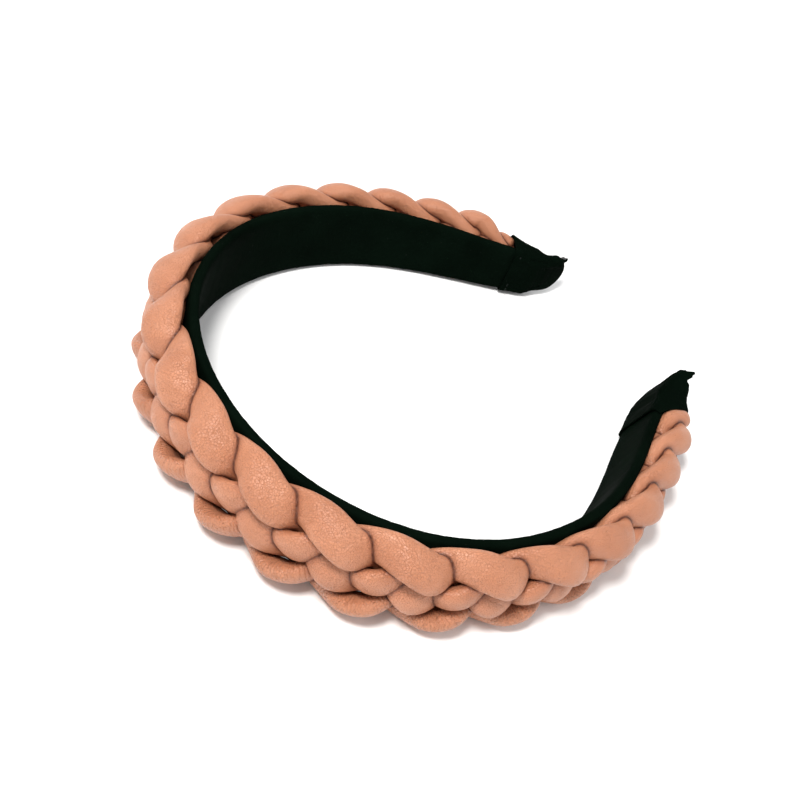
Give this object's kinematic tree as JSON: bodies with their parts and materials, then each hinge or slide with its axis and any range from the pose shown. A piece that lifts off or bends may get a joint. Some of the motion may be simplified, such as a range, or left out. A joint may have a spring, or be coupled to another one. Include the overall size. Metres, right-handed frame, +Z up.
{
  "type": "headband",
  "caption": "C-shaped springy headband covered by a flat braid of soft stuffed leather-look tubes, with cloth-wrapped ends, that grips the head and holds the hair back.",
  "frame": {"origin": "middle of the footprint, on the surface that the band lies on", "axes": "+Z up with the band lying on its side, +X from the crown towards the open tips, Y across the C from one side of the head to the other"},
  "size_m": [0.1604, 0.1458, 0.0331],
  "materials": {
    "leather": "soft satin grain",
    "wadding": "matt fibre",
    "black_cloth": "dull satin",
    "thread": "matt thread",
    "core": "matt"
  },
  "bodies": {
    "root": {"core_band": "core", "band_sleeve": "black_cloth", "far_end_wrap": "black_cloth", "near_end_wrap": "black_cloth", "far_seam_stitches": "thread", "near_seam_stitches": "thread", "strand_1_skin": "leather", "strand_1_filling": "wadding", "strand_2_skin": "leather", "strand_2_filling": "wadding", "strand_3_skin": "leather", "strand_3_filling": "wadding", "strand_4_skin": "leather", "strand_4_filling": "wadding", "strand_5_skin": "leather", "strand_5_filling": "wadding"}
  },
  "joints": []
}
